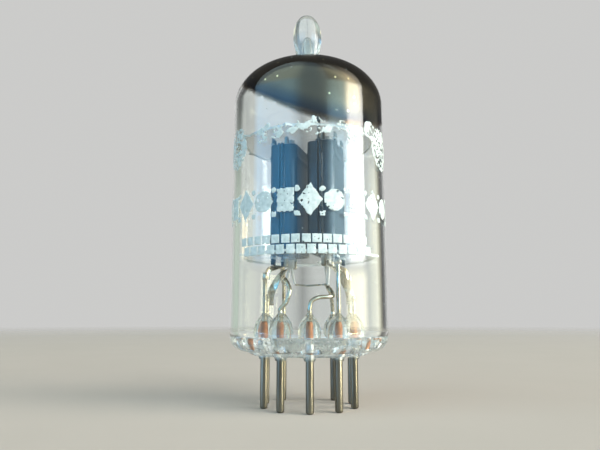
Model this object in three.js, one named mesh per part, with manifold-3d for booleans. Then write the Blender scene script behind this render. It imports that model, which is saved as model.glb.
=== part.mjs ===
// Miniature nine-pin double triode: a glass bulb sealed onto a pressed glass button stem.
// Millimetres, +Z up. The origin is the centre of the seat, the flat underside of the glass button.
// +Z runs to the exhaust tip and -Y to pin 5. The wide gap between pins 9 and 1 faces +Y.
import * as THREE from 'three';
import { mergeVertices } from 'three/addons/utils/BufferGeometryUtils.js';
import Module from 'manifold-3d';

const wasm = await Module();
wasm.setup();

// ---- driving dimensions -------------------------------------------------------------------------

// Envelope
const BULB_RADIUS = 10.3;
const WALL = 0.9;
const SHOULDER_Z = 33.4;          // where the straight wall turns into the dome
const DOME_RISE = 6.45;
const DOME_SQUARENESS = 2.2;      // exponent of the dome's superellipse
const SEAL_Z = 2.5;               // plane where the bulb's rim is fused to the stem
const BULB_SEGMENTS = 36;

// Pins
const PIN_COUNT = 9;
const PIN_PITCH_DEG = 36;         // ten places on the circle, one of them left empty
const PIN_1_DEG = 126;
const PIN_CIRCLE_RADIUS = 11.89 / 2;
const PIN_RADIUS = 1.016 / 2;
const PIN_LENGTH = 6.35;          // below the seat
const PIN_EMBED_Z = 2.3;          // top of the pin, inside the glass
const SEAL_WIRE_RADIUS = 0.3;
const SEAL_WIRE_TOP_Z = 4.1;
const LEAD_RADIUS = 0.26;
const LEAD_BOTTOM_Z = 4.2;
const BORE_CLEARANCE = 0.04;
const PIN_SIDES = 10;

// Stem
const BEAD_RADIUS = 1.42;
const BEAD_TOP_Z = 5.3;
const COLLAR_DROP = 0.35;

// Electrode cage, set out in its own frame: u across the two triodes, v through them
const CAGE_TURN_DEG = -18;
const TRIODE_OFFSET = 2.57;       // from the tube's axis to each cathode
const MICA_THICKNESS = 0.3;
const BOTTOM_MICA_Z = 12.35;
const TOP_MICA_Z = 27.9;
const MICA_RADIUS = 8.7;
const MICA_POINT_REACH = 0.6;     // how far the gripping points stand out of the rim
const MICA_POINTS = 8;
const ANODE_WIDTH = 3.7;
const ANODE_DEPTH = 7.0;
const ANODE_SHEET = 0.2;
const ANODE_CORNER = 0.9;
const ANODE_BOTTOM_Z = 12.95;
const ANODE_TOP_Z = 27.6;
const FLANGE_REACH = 0.65;
const FLANGE_GAP = 0.24;
const TAB_WIDTH = 1.2;
const TAB_REACH = 1.35;           // beyond each end of the anode, through the mica
const TAB_V = 1.9;                // from the middle of the anode to the middle of the tab
const SLOT_CLEARANCE = 0.12;
const GRID_ROD_RADIUS = 0.3;
const GRID_ROD_V = 1.75;
const GRID_WIRE_RADIUS = 0.09;
const GRID_TURNS = 12;
const CATHODE_RADIUS = 0.6;
const CATHODE_SHEET = 0.12;
const HEATER_RADIUS = 0.17;
const HEATER_SPREAD = 0.22;       // half the distance between a heater's two legs
const HEATER_FOOT_DROP = 2.3;     // how far a heater's front leg hangs below its cathode
const LINK_RADIUS = 0.12;         // wire that joins the two heaters at their rear legs
const LINK_V = 1.4;
const ROD_BOTTOM_Z = 11.3;
const ROD_TOP_Z = 29.2;
const STRAP_SHEET = 0.14;
const STRAP_GAP = 0.06;

// Getter
const GETTER_RING_RADIUS = 3.6;
const GETTER_RING_WIRE = 0.45;
const GETTER_RING_Z = 35.7;
const GETTER_POST_U = 0.0;
const GETTER_POST_V = 5.4;
const GETTER_POST_RADIUS = 0.28;
const FLASH_THICKNESS = 0.12;
const FLASH_GAP = 0.06;
const FLASH_EDGE_Z = 35.0;        // height of the flash's lower edge on the tube's axis
const FLASH_SIDE_DEG = 18;        // how the lower edge drops towards +X
const FLASH_FRONT_DEG = 31;       // how it drops towards the front
const FLASH_BACK_DEG = 8;         // how it rises towards the back

// ---- materials ----------------------------------------------------------------------------------

const clear = { transparent: true, opacity: 0.35 };
const looks = {
  bulbGlass: ['#dfe8ee', 0.05, 0, clear],
  stemGlass: ['#d9e4ea', 0.08, 0, clear],
  flash: ['#15171b', 0.12, 0.9],
  nickel: ['#8f8b80', 0.35, 1],
  dumet: ['#b4552f', 0.4, 0.8],
  lead: ['#b9b4a6', 0.4, 1],
  mica: ['#c9c3b2', 0.35, 0],
  anode: ['#3d4043', 0.6, 0.6],
  grid: ['#9a917c', 0.4, 1],
  cathode: ['#e6e4dd', 0.8, 0.1],
  heater: ['#efeeea', 0.9, 0],
};

function material(look) {
  const [color, roughness, metalness, extra] = looks[look];
  return new THREE.MeshStandardMaterial({ color, roughness, metalness, ...extra });
}

// ---- helpers ------------------------------------------------------------------------------------

const tube = new THREE.Group();
const cage = new THREE.Group();
cage.rotation.z = THREE.MathUtils.degToRad(CAGE_TURN_DEG);
tube.add(cage);

function addPiece(parent, name, geometry, look) {
  const mesh = new THREE.Mesh(geometry, material(look));
  mesh.name = name;
  parent.add(mesh);
  return mesh;
}

// A solid of revolution about Z. The outline is [radius, z] points, anticlockwise.
function turned(outline, segments) {
  const points = outline.map(([radius, z]) => new THREE.Vector2(radius, z));
  const geometry = new THREE.LatheGeometry(points, segments);
  geometry.rotateX(Math.PI / 2);
  return geometry;
}

// A round bar along Z from one height to another.
function bar(radius, fromZ, toZ, sides) {
  return turned([[0, fromZ], [radius, fromZ], [radius, toZ], [0, toZ]], sides);
}

// A bar whose two ends are chamfered.
function chamferedBar(radius, fromZ, toZ, chamfer, sides) {
  return turned([
    [0, fromZ], [radius - chamfer, fromZ], [radius, fromZ + chamfer],
    [radius, toZ - chamfer], [radius - chamfer, toZ], [0, toZ],
  ], sides);
}

// A round wire along a smooth curve through the given points.
function wire(points, radius, steps, sides = 8) {
  const curve = new THREE.CatmullRomCurve3(points.map((point) => new THREE.Vector3(...point)));
  const section = new THREE.Shape();
  for (let side = 0; side < sides; side += 1) {
    const angle = (2 * Math.PI * side) / sides;
    const place = [radius * Math.cos(angle), radius * Math.sin(angle)];
    if (side === 0) section.moveTo(...place);
    else section.lineTo(...place);
  }
  section.closePath();
  return new THREE.ExtrudeGeometry(section, { steps, extrudePath: curve, bevelEnabled: false });
}

function toSolid(geometry) {
  const bare = geometry.clone();
  bare.deleteAttribute('normal');
  bare.deleteAttribute('uv');
  const merged = mergeVertices(bare, 1e-5);
  const corners = merged.index.array;
  const kept = [];
  for (let i = 0; i < corners.length; i += 3) {
    const [a, b, c] = [corners[i], corners[i + 1], corners[i + 2]];
    if (a !== b && b !== c && c !== a) kept.push(a, b, c);
  }
  return new wasm.Manifold(new wasm.Mesh({
    numProp: 3,
    vertProperties: Float32Array.from(merged.attributes.position.array),
    triVerts: Uint32Array.from(kept),
  }));
}

function toGeometry(solid) {
  const mesh = solid.getMesh();
  const geometry = new THREE.BufferGeometry();
  geometry.setAttribute('position', new THREE.BufferAttribute(Float32Array.from(mesh.vertProperties), 3));
  geometry.setIndex(Array.from(mesh.triVerts));
  geometry.computeVertexNormals();
  return geometry;
}

function arcPoints(centreX, centreY, radius, fromDeg, toDeg, steps) {
  const points = [];
  for (let i = 0; i <= steps; i += 1) {
    const angle = THREE.MathUtils.degToRad(fromDeg + ((toDeg - fromDeg) * i) / steps);
    points.push([centreX + radius * Math.cos(angle), centreY + radius * Math.sin(angle)]);
  }
  return points;
}

// A flat plate of the given outline, standing on z = 0.
function extruded(outline, depth) {
  const shape = new THREE.Shape(outline.map(([x, y]) => new THREE.Vector2(x, y)));
  return new THREE.ExtrudeGeometry(shape, { depth, bevelEnabled: false });
}

function pinAngle(number) {
  return THREE.MathUtils.degToRad(PIN_1_DEG + PIN_PITCH_DEG * (number - 1));
}

function pinPlace(number, z) {
  const angle = pinAngle(number);
  return [PIN_CIRCLE_RADIUS * Math.cos(angle), PIN_CIRCLE_RADIUS * Math.sin(angle), z];
}

// A point of the turned cage, given as u, v and z, in the tube's own frame.
function fromCage(u, v, z) {
  return new THREE.Vector3(u, v, z).applyEuler(cage.rotation).toArray();
}

// ---- bulb ---------------------------------------------------------------------------------------

// Points of a superellipse dome from its shoulder up to a given radius near the axis.
function domeOutline(radius, rise, endDeg, steps) {
  const points = [];
  for (let i = 0; i <= steps; i += 1) {
    const angle = THREE.MathUtils.degToRad((endDeg * i) / steps);
    const across = radius * Math.cos(angle) ** (2 / DOME_SQUARENESS);
    const up = rise * Math.sin(angle) ** (2 / DOME_SQUARENESS);
    points.push([across, SHOULDER_Z + up]);
  }
  return points;
}

function bulbOutline() {
  const outside = [
    [BULB_RADIUS, SEAL_Z],
    ...domeOutline(BULB_RADIUS, DOME_RISE, 76, 9),
    [1.62, 40.6], [1.66, 41.8], [1.95, 43.4], [2.06, 44.6], [1.9, 45.9],
    [1.5, 47.0], [0.9, 47.75], [0, 47.95],
  ];
  const inside = [
    [0, 44.6], [0.45, 43.9], [0.55, 42.2], [0.5, 40.4],
    ...domeOutline(BULB_RADIUS - WALL, DOME_RISE - WALL, 82, 7).reverse(),
    [BULB_RADIUS - WALL, SEAL_Z],
  ];
  return [...outside, ...inside, outside[0]];
}

addPiece(tube, 'bulb', turned(bulbOutline(), BULB_SEGMENTS), 'bulbGlass');

// ---- getter flash: a thin mirror on the inside of the dome, with a leaning lower edge ------------

// A block under a plane through the flash's edge on the axis, which rises towards the back.
function belowPlane(riseDeg) {
  const depth = 20;
  const block = new THREE.BoxGeometry(60, 60, depth);
  block.translate(0, 0, -depth / 2);
  block.rotateX(THREE.MathUtils.degToRad(riseDeg));
  block.rotateY(THREE.MathUtils.degToRad(FLASH_SIDE_DEG));
  block.translate(0, 0, FLASH_EDGE_Z);
  return toSolid(block);
}

function getterFlash() {
  const outer = BULB_RADIUS - WALL - FLASH_GAP;
  const outerRise = DOME_RISE - WALL - FLASH_GAP;
  const inner = outer - FLASH_THICKNESS;
  const innerRise = outerRise - FLASH_THICKNESS;
  const skirtZ = SHOULDER_Z - 6;
  const outline = [
    [outer, skirtZ],
    ...domeOutline(outer, outerRise, 80, 7),
    ...domeOutline(inner, innerRise, 80, 7).reverse(),
    [inner, skirtZ],
    [outer, skirtZ],
  ];
  const below = belowPlane(FLASH_FRONT_DEG).intersect(belowPlane(FLASH_BACK_DEG));
  return toGeometry(toSolid(turned(outline, BULB_SEGMENTS)).subtract(below));
}

addPiece(tube, 'getter_flash', getterFlash(), 'flash');

// ---- button stem, with a bead round every seal and a collar round every pin -----------------------

function stemBody() {
  const seatRadius = 4.4;
  const outerRadius = BULB_RADIUS - 0.05;
  const roundRadius = 1.9;
  return turned([
    [0, 0], [seatRadius, 0], [seatRadius + 0.3, 0.12], [7.2, 0.12], [7.6, 0.2], [7.9, 0.45],
    [8.0, 0.6],
    ...arcPoints(outerRadius - roundRadius, SEAL_Z, roundRadius, -90, 0, 5),
    [0, SEAL_Z],
  ], BULB_SEGMENTS);
}

function stemBead() {
  return turned([
    [0, -COLLAR_DROP], [0.66, -COLLAR_DROP], [0.8, 0.4], [BEAD_RADIUS, SEAL_Z - 0.2],
    [1.3, 3.1], [1.0, 4.2], [0.5, BEAD_TOP_Z], [0, BEAD_TOP_Z],
  ], PIN_SIDES);
}

function stem() {
  const pinBore = bar(PIN_RADIUS + BORE_CLEARANCE, -1, PIN_EMBED_Z + BORE_CLEARANCE, PIN_SIDES);
  const wireBore = bar(
    SEAL_WIRE_RADIUS + BORE_CLEARANCE, 1, SEAL_WIRE_TOP_Z + BORE_CLEARANCE, PIN_SIDES);
  const leadBore = bar(LEAD_RADIUS + BORE_CLEARANCE, 3, BEAD_TOP_Z + 1, PIN_SIDES);
  let solid = toSolid(stemBody());
  for (let number = 1; number <= PIN_COUNT; number += 1) {
    const place = pinPlace(number, 0);
    solid = solid.add(toSolid(stemBead().translate(...place)));
  }
  for (let number = 1; number <= PIN_COUNT; number += 1) {
    const place = pinPlace(number, 0);
    for (const bore of [pinBore, wireBore, leadBore]) {
      solid = solid.subtract(toSolid(bore.clone().translate(...place)));
    }
  }
  return toGeometry(solid);
}

addPiece(tube, 'button_stem', stem(), 'stemGlass');

// ---- pins and seal wires --------------------------------------------------------------------------

for (let number = 1; number <= PIN_COUNT; number += 1) {
  const pin = addPiece(tube, `pin_${number}`,
    chamferedBar(PIN_RADIUS, -PIN_LENGTH, PIN_EMBED_Z, 0.12, PIN_SIDES), 'nickel');
  pin.position.set(...pinPlace(number, 0));
  const seal = addPiece(tube, `seal_wire_${number}`,
    bar(SEAL_WIRE_RADIUS, PIN_EMBED_Z + BORE_CLEARANCE + 0.02, SEAL_WIRE_TOP_Z, PIN_SIDES), 'dumet');
  seal.position.set(...pinPlace(number, 0));
}

// ---- micas ----------------------------------------------------------------------------------------

const TRIODES = [
  { number: 1, side: 1, gridPin: 7, cathodePin: 8 },
  { number: 2, side: -1, gridPin: 2, cathodePin: 3 },
];

function mica() {
  const outline = [];
  const stepsPerPoint = 6;
  const count = MICA_POINTS * stepsPerPoint;
  for (let i = 0; i < count; i += 1) {
    const angle = (2 * Math.PI * i) / count;
    const radius = MICA_RADIUS + (i % stepsPerPoint === 0 ? MICA_POINT_REACH : 0);
    outline.push([radius * Math.cos(angle), radius * Math.sin(angle)]);
  }
  const drill = (u, v, radius) => bar(radius + SLOT_CLEARANCE, -1, 1, 8).translate(u, v, 0);
  const punch = (u, v) => new THREE.BoxGeometry(
    ANODE_SHEET + 2 * SLOT_CLEARANCE, TAB_WIDTH + 2 * SLOT_CLEARANCE, 2).translate(u, v, 0);
  const holes = [drill(GETTER_POST_U, GETTER_POST_V, GETTER_POST_RADIUS)];
  for (const { side } of TRIODES) {
    holes.push(drill(side * TRIODE_OFFSET, 0, CATHODE_RADIUS));
    for (const end of [-1, 1]) {
      holes.push(drill(side * TRIODE_OFFSET, end * GRID_ROD_V, GRID_ROD_RADIUS));
      holes.push(punch(side * tabU(), end * TAB_V));
    }
  }
  let plate = toSolid(extruded(outline, MICA_THICKNESS));
  for (const hole of holes) plate = plate.subtract(toSolid(hole));
  return toGeometry(plate);
}

// Distance from the tube's axis to the middle of each anode's outer wall, where its tabs are.
function tabU() {
  return TRIODE_OFFSET + ANODE_WIDTH / 2 - ANODE_SHEET / 2;
}

addPiece(cage, 'bottom_mica', mica(), 'mica').position.z = BOTTOM_MICA_Z;
addPiece(cage, 'top_mica', mica(), 'mica').position.z = TOP_MICA_Z;

// ---- anodes: two pressed halves each, flange to flange ---------------------------------------------

// Section of the outer half, in a frame whose origin is the triode's axis.
function anodeHalfSection() {
  const wallU = ANODE_WIDTH / 2;
  const wallV = ANODE_DEPTH / 2;
  const seamU = FLANGE_GAP / 2;
  const endV = wallV + FLANGE_REACH;
  const cornerU = wallU - ANODE_CORNER;
  const cornerV = wallV - ANODE_CORNER;
  const innerCorner = ANODE_CORNER - ANODE_SHEET;
  return [
    [seamU, -endV], [seamU + ANODE_SHEET, -endV], [seamU + ANODE_SHEET, -wallV],
    ...arcPoints(cornerU, -cornerV, ANODE_CORNER, -90, 0, 4),
    ...arcPoints(cornerU, cornerV, ANODE_CORNER, 0, 90, 4),
    [seamU + ANODE_SHEET, wallV], [seamU + ANODE_SHEET, endV], [seamU, endV],
    [seamU, wallV - ANODE_SHEET],
    ...arcPoints(cornerU, cornerV, innerCorner, 90, 0, 4),
    ...arcPoints(cornerU, -cornerV, innerCorner, 0, -90, 4),
    [seamU, -wallV + ANODE_SHEET],
  ];
}

function anodeHalf(hasTabs) {
  const height = ANODE_TOP_Z - ANODE_BOTTOM_Z;
  const wall = extruded(anodeHalfSection(), height);
  if (!hasTabs) return wall;
  let solid = toSolid(wall);
  for (const end of [-1, 1]) {
    const tab = new THREE.BoxGeometry(ANODE_SHEET, TAB_WIDTH, height + 2 * TAB_REACH);
    tab.translate(ANODE_WIDTH / 2 - ANODE_SHEET / 2, end * TAB_V, height / 2);
    solid = solid.add(toSolid(tab));
  }
  return toGeometry(solid);
}

for (const { number, side } of TRIODES) {
  const outer = addPiece(cage, `anode_${number}_outer_half`, anodeHalf(true), 'anode');
  const inner = addPiece(cage, `anode_${number}_inner_half`, anodeHalf(false), 'anode');
  for (const half of [outer, inner]) half.position.set(side * TRIODE_OFFSET, 0, ANODE_BOTTOM_Z);
  outer.rotation.z = side > 0 ? 0 : Math.PI;
  inner.rotation.z = side > 0 ? Math.PI : 0;
}

// ---- grids: two side rods and a winding each --------------------------------------------------------

function gridWinding() {
  const halfU = 0.95;
  const halfV = GRID_ROD_V + GRID_ROD_RADIUS + GRID_WIRE_RADIUS + 0.06;
  const stepsPerTurn = 10;
  const bottom = ANODE_BOTTOM_Z + 0.8;
  const top = ANODE_TOP_Z - 0.8;
  const count = GRID_TURNS * stepsPerTurn;
  const points = [];
  for (let i = 0; i <= count; i += 1) {
    const angle = (2 * Math.PI * i) / stepsPerTurn;
    points.push([halfU * Math.sin(angle), halfV * Math.cos(angle), bottom + ((top - bottom) * i) / count]);
  }
  return wire(points, GRID_WIRE_RADIUS, count, 4);
}

for (const { number, side } of TRIODES) {
  for (const [end, label] of [[-1, 'front'], [1, 'rear']]) {
    addPiece(cage, `grid_${number}_${label}_rod`, bar(GRID_ROD_RADIUS, ROD_BOTTOM_Z, ROD_TOP_Z, 8), 'grid')
      .position.set(side * TRIODE_OFFSET, end * GRID_ROD_V, 0);
  }
  addPiece(cage, `grid_${number}_winding`, gridWinding(), 'grid')
    .position.set(side * TRIODE_OFFSET, 0, 0);
}

// ---- cathodes and heaters ---------------------------------------------------------------------------

function cathodeSleeve() {
  const inner = CATHODE_RADIUS - CATHODE_SHEET;
  return turned([
    [CATHODE_RADIUS, ROD_BOTTOM_Z], [CATHODE_RADIUS, ROD_TOP_Z], [inner, ROD_TOP_Z],
    [inner, ROD_BOTTOM_Z], [CATHODE_RADIUS, ROD_BOTTOM_Z],
  ], 12);
}

// A hairpin inside the cathode. Its outer leg comes forward to its lead, its inner leg goes back to
// the link.
function heater(side) {
  const top = ROD_TOP_Z - 0.6;
  const mouth = ROD_BOTTOM_Z - 0.5;
  const outer = side * HEATER_SPREAD;
  const inner = -outer;
  return wire([
    [1.6 * outer, -1.0, ROD_BOTTOM_Z - HEATER_FOOT_DROP], [1.2 * outer, -0.6, mouth - 1.0],
    [outer, -0.1, mouth], [outer, 0, ROD_BOTTOM_Z + 0.6], [outer, 0, top - 0.6],
    [outer, 0, top - 0.1], [0, 0, top + 0.2], [inner, 0, top - 0.1],
    [inner, 0, top - 0.6], [inner, 0, ROD_BOTTOM_Z + 0.6], [inner, 0.1, mouth],
    [inner, 0.6, mouth - 0.8], [1.4 * inner, 0.9, mouth - 1.5],
  ], HEATER_RADIUS, 32, 5);
}

for (const { number, side } of TRIODES) {
  addPiece(cage, `cathode_${number}`, cathodeSleeve(), 'cathode').position.x = side * TRIODE_OFFSET;
  addPiece(cage, `heater_${number}`, heater(side), 'heater').position.x = side * TRIODE_OFFSET;
}

function heaterLink() {
  const reach = TRIODE_OFFSET - HEATER_SPREAD;
  const z = ROD_BOTTOM_Z - HEATER_FOOT_DROP + 0.2;
  return wire([
    [-reach, LINK_V, z], [-reach / 3, LINK_V + 0.1, z - 0.15], [reach / 3, LINK_V + 0.1, z - 0.1],
    [reach, LINK_V, z],
  ], LINK_RADIUS, 8, 6);
}

addPiece(cage, 'heater_link', heaterLink(), 'lead');

// ---- leads: from each seal up towards its electrode, below the bottom mica -------------------------

const STRAIGHT_LEAD_TOP = {
  2: 7.4,
  3: 10.4,
  7: 7.4,
  8: 10.4,
};

const LEAD_ROUTES = {
  1: [pinPlace(1, 7), fromCage(-4.75, 3.2, 10.2), fromCage(-4.66, 2.4, 11.7)],
  4: [[-2.8, -4.75, 6.6], [-2.4, -4.5, 8.2], [-3.0, -3.4, 9.5], fromCage(-2.95, -1.55, 9.3)],
  5: [[0.25, -5.85, 6.7], [1.1, -5.6, 7.15], [2.6, -5.0, 7.3], [2.95, -3.7, 7.6], fromCage(3.0, -1.6, 8.6)],
  6: [pinPlace(6, 7), fromCage(4.75, -3.2, 10.2), fromCage(4.66, -2.4, 11.7)],
  9: [fromCage(1.85, 5.2, 7.0), fromCage(1.9, 3.7, 8.6), fromCage(1.9, 2.05, 9.1)],
};

function leadRoute(number) {
  const seated = [4.7, 5.3, 5.8].map((z) => pinPlace(number, z));
  const top = STRAIGHT_LEAD_TOP[number];
  const onward = top ? [pinPlace(number, (5.8 + top) / 2), pinPlace(number, top)] : LEAD_ROUTES[number];
  return [pinPlace(number, LEAD_BOTTOM_Z), ...seated, ...onward];
}

for (let number = 1; number <= PIN_COUNT; number += 1) {
  const steps = STRAIGHT_LEAD_TOP[number] ? 4 : 14;
  addPiece(tube, `lead_${number}`, wire(leadRoute(number), LEAD_RADIUS, steps, 6), 'lead');
}

// ---- straps: bent strips of sheet from the straight leads to the grids and cathodes ------------------

// A strip in the vertical plane through two upright wires. Each waypoint is a share of the way
// across the clear space between the wires, and a height.
function strap(fromPlace, fromRadius, toPlace, toRadius, waypoints, width) {
  const start = new THREE.Vector3(fromPlace[0], fromPlace[1], 0);
  const across = new THREE.Vector3(toPlace[0], toPlace[1], 0).sub(start);
  const reach = across.length();
  across.normalize();
  const near = fromRadius + STRAP_GAP + STRAP_SHEET / 2;
  const far = reach - toRadius - STRAP_GAP - STRAP_SHEET / 2;
  const curve = new THREE.SplineCurve(waypoints.map(
    ([share, z]) => new THREE.Vector2(near + share * (far - near), z)));
  const steps = 10;
  const left = [];
  const right = [];
  for (let i = 0; i <= steps; i += 1) {
    const point = curve.getPoint(i / steps);
    const tangent = curve.getTangent(i / steps).multiplyScalar(STRAP_SHEET / 2);
    left.push([point.x - tangent.y, point.y + tangent.x]);
    right.push([point.x + tangent.y, point.y - tangent.x]);
  }
  const geometry = extruded([...right, ...left.reverse()], width);
  geometry.translate(0, 0, -width / 2);
  const up = new THREE.Vector3(0, 0, 1);
  const side = new THREE.Vector3().crossVectors(across, up);
  geometry.applyMatrix4(new THREE.Matrix4().makeBasis(across, up, side).setPosition(start));
  return geometry;
}

const GRID_STRAP = [[0, 6.4], [0, 7.4], [0.12, 8.6], [0.5, 10.6], [0.92, 11.5], [1, 12.0]];
const CATHODE_STRAP = [[0, 9.6], [0, 10.4], [0.15, 11.0], [0.6, 11.35], [0.95, 11.5], [1, 12.0]];

for (const { number, side, gridPin, cathodePin } of TRIODES) {
  const rod = fromCage(side * TRIODE_OFFSET, -side * GRID_ROD_V, 0);
  const sleeve = fromCage(side * TRIODE_OFFSET, 0, 0);
  addPiece(tube, `grid_${number}_strap`,
    strap(pinPlace(gridPin, 0), LEAD_RADIUS, rod, GRID_ROD_RADIUS, GRID_STRAP, 1.0), 'lead');
  addPiece(tube, `cathode_${number}_strap`,
    strap(pinPlace(cathodePin, 0), LEAD_RADIUS, sleeve, CATHODE_RADIUS, CATHODE_STRAP, 0.7), 'lead');
}

// ---- getter ring on its post -------------------------------------------------------------------------

function getterRing() {
  const section = arcPoints(GETTER_RING_RADIUS, GETTER_RING_Z, GETTER_RING_WIRE, -90, 270, 8);
  return turned(section, 24);
}

function getterPost() {
  return wire([
    [GETTER_POST_U, GETTER_POST_V, TOP_MICA_Z - 1.2], [GETTER_POST_U, GETTER_POST_V, 29],
    [GETTER_POST_U, GETTER_POST_V, GETTER_RING_Z - 2.1],
    [GETTER_POST_U, GETTER_POST_V - 0.1, GETTER_RING_Z], [GETTER_POST_U, 4.5, GETTER_RING_Z + 0.6],
  ], GETTER_POST_RADIUS, 10, 6);
}

addPiece(cage, 'getter_ring', getterRing(), 'nickel');
addPiece(cage, 'getter_post', getterPost(), 'nickel');

export default tube;
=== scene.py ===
import math

import bmesh
import bpy
from mathutils import Matrix, Vector, noise


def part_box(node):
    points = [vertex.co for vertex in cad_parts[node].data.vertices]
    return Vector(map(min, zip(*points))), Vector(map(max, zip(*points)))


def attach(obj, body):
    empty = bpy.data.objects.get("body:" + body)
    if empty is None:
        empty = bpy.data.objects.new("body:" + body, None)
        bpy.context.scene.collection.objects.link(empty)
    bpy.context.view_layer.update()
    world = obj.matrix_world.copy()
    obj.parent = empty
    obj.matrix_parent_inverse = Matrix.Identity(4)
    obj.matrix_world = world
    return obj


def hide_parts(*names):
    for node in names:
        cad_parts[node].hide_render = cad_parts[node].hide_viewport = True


# A miniature glass vacuum tube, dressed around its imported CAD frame. Shapes are worked out in
# millimetres and written to the meshes in metres. +Z is the tube's axis and -Y the front.
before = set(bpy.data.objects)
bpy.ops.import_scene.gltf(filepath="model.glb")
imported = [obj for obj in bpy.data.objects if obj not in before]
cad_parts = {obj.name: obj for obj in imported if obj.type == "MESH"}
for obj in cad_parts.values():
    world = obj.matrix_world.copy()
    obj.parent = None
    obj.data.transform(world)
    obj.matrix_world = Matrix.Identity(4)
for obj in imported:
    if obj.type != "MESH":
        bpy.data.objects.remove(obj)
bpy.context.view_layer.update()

MM = 0.001
FINE = 128                        # segments round the glass
WIRE_SIDES = 20


# ---- sizes read from the frame

def low(node):
    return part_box(node)[0] / MM


def high(node):
    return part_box(node)[1] / MM


def centre(node):
    return (low(node) + high(node)) / 2


PIN_NUMBERS = range(1, 10)
BULB_RADIUS = high("bulb").x
SEAL_Z = low("bulb").z
TIP_Z = high("bulb").z
WALL = 0.9
BORE = BULB_RADIUS - WALL         # inner radius of the glass
SHOULDER_Z = TIP_Z - 14.55
DOME_RISE = 6.45
DOME_TOP_Z = SHOULDER_Z + DOME_RISE
DOME_SQUARENESS = 2.2
FLOOR_Z = low("pin_5").z
BEAD_TOP_Z = high("button_stem").z
BEAD_RADIUS = 1.42
COLLAR_DROP = -low("button_stem").z
PIN_RADIUS = (high("pin_5").x - low("pin_5").x) / 2
LEAD_RADIUS = 0.26
CAGE_ANGLE = math.atan2(centre("cathode_1").y, centre("cathode_1").x)
TRIODE_OFFSET = centre("cathode_1").xy.length
TRIODES = ((1, 1), (2, -1))       # number and side along u
ANODE_LOW = low("anode_1_inner_half").z
ANODE_HIGH = high("anode_1_inner_half").z
ANODE_WIDTH = 3.7
ANODE_DEPTH = 7.0
ANODE_CORNER = 0.9
SHEET = 0.2
FLANGE_REACH = 0.65
SEAM = 0.24
GRID_ROD_V = 1.75
GRID_ROD_RADIUS = 0.3
CATHODE_RADIUS = 0.6
ROD_LOW = low("cathode_1").z
ROD_HIGH = high("cathode_1").z


def pin_place(number, z):
    spot = centre(f"pin_{number}")
    return Vector((spot.x, spot.y, z))


def from_cage(u, v, z):
    """A point of the turned electrode cage: u across the two triodes, v through them."""
    return Matrix.Rotation(CAGE_ANGLE, 3, "Z") @ Vector((u, v, z))


# ---- mesh tools

def merged(parts):
    """Joins (points, faces) pairs into one."""
    points, faces = [], []
    for part_points, part_faces in parts:
        offset = len(points)
        points += [Vector(point) for point in part_points]
        faces += [tuple(index + offset for index in face) for face in part_faces]
    return points, faces


def placed(part, move=(0, 0, 0), turn=0.0):
    """The same part turned about Z, then moved."""
    spin = Matrix.Rotation(turn, 3, "Z")
    return [spin @ Vector(point) + Vector(move) for point in part[0]], part[1]


def lathe(outline, segments=FINE):
    """Turns [radius, z] points about Z. An outline that comes back to its start closes on itself."""
    ring_shape = outline[0] == outline[-1]
    rows = outline[:-1] if ring_shape else outline
    points, rings = [], []
    for radius, z in rows:
        if radius < 1e-6:
            rings.append([len(points)])
            points.append(Vector((0, 0, z)))
            continue
        rings.append(list(range(len(points), len(points) + segments)))
        for step in range(segments):
            angle = 2 * math.pi * step / segments
            points.append(Vector((radius * math.cos(angle), radius * math.sin(angle), z)))
    pairs = list(zip(rings, rings[1:] + rings[:1])) if ring_shape else list(zip(rings, rings[1:]))
    faces = []
    for lower, upper in pairs:
        for step in range(segments):
            around = ((lower, step), (lower, step + 1), (upper, step + 1), (upper, step))
            face = tuple(dict.fromkeys(ring[i % len(ring)] for ring, i in around))
            if len(face) > 2:                 # a ring on the axis is one point, and gives triangles
                faces.append(face)
    return points, faces


def smooth_path(points, per_span=10):
    """Points along a Catmull-Rom curve."""
    knots = [Vector(point) for point in points]
    knots = [2 * knots[0] - knots[1]] + knots + [2 * knots[-1] - knots[-2]]
    path = []
    for before, start, end, after in zip(knots, knots[1:], knots[2:], knots[3:]):
        for step in range(per_span):
            t = step / per_span
            path.append(0.5 * (2 * start + (end - before) * t
                               + (2 * before - 5 * start + 4 * end - after) * t ** 2
                               + (3 * start - before - 3 * end + after) * t ** 3))
    path.append(knots[-2])
    return path


def sweep(path, radius, sides=WIRE_SIDES):
    """A round wire with domed ends. radius is a number, or a function of the share along it."""
    size = radius if callable(radius) else lambda share: radius
    count = len(path)
    tangents = [(path[min(i + 1, count - 1)] - path[max(i - 1, 0)]).normalized() for i in range(count)]
    across = tangents[0].orthogonal().normalized()
    points, rings = [], []

    def ring(place, tangent, radius_here):
        side = across.cross(tangent)
        rings.append(range(len(points), len(points) + sides))
        for step in range(sides):
            angle = 2 * math.pi * step / sides
            points.append(place + radius_here * (math.cos(angle) * across + math.sin(angle) * side))

    def cap(place, outward, tangent, end_radius, shares):
        for share in shares:
            depth = outward * end_radius * math.sqrt(1 - share ** 2) * 0.4
            ring(place + tangent * depth, tangent, end_radius * share)

    cap(path[0], -1, tangents[0], size(0), (0.2, 0.6, 0.9))
    for i in range(count):
        across = (across - across.project(tangents[i])).normalized()
        ring(path[i], tangents[i], size(i / (count - 1)))
    cap(path[-1], 1, tangents[-1], size(1), (0.9, 0.6, 0.2))
    faces = [tuple(reversed(rings[0])), tuple(rings[-1])]
    for lower, upper in zip(rings, rings[1:]):
        for step in range(sides):
            after = (step + 1) % sides
            faces.append((lower[step], lower[after], upper[after], upper[step]))
    return points, faces


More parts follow.
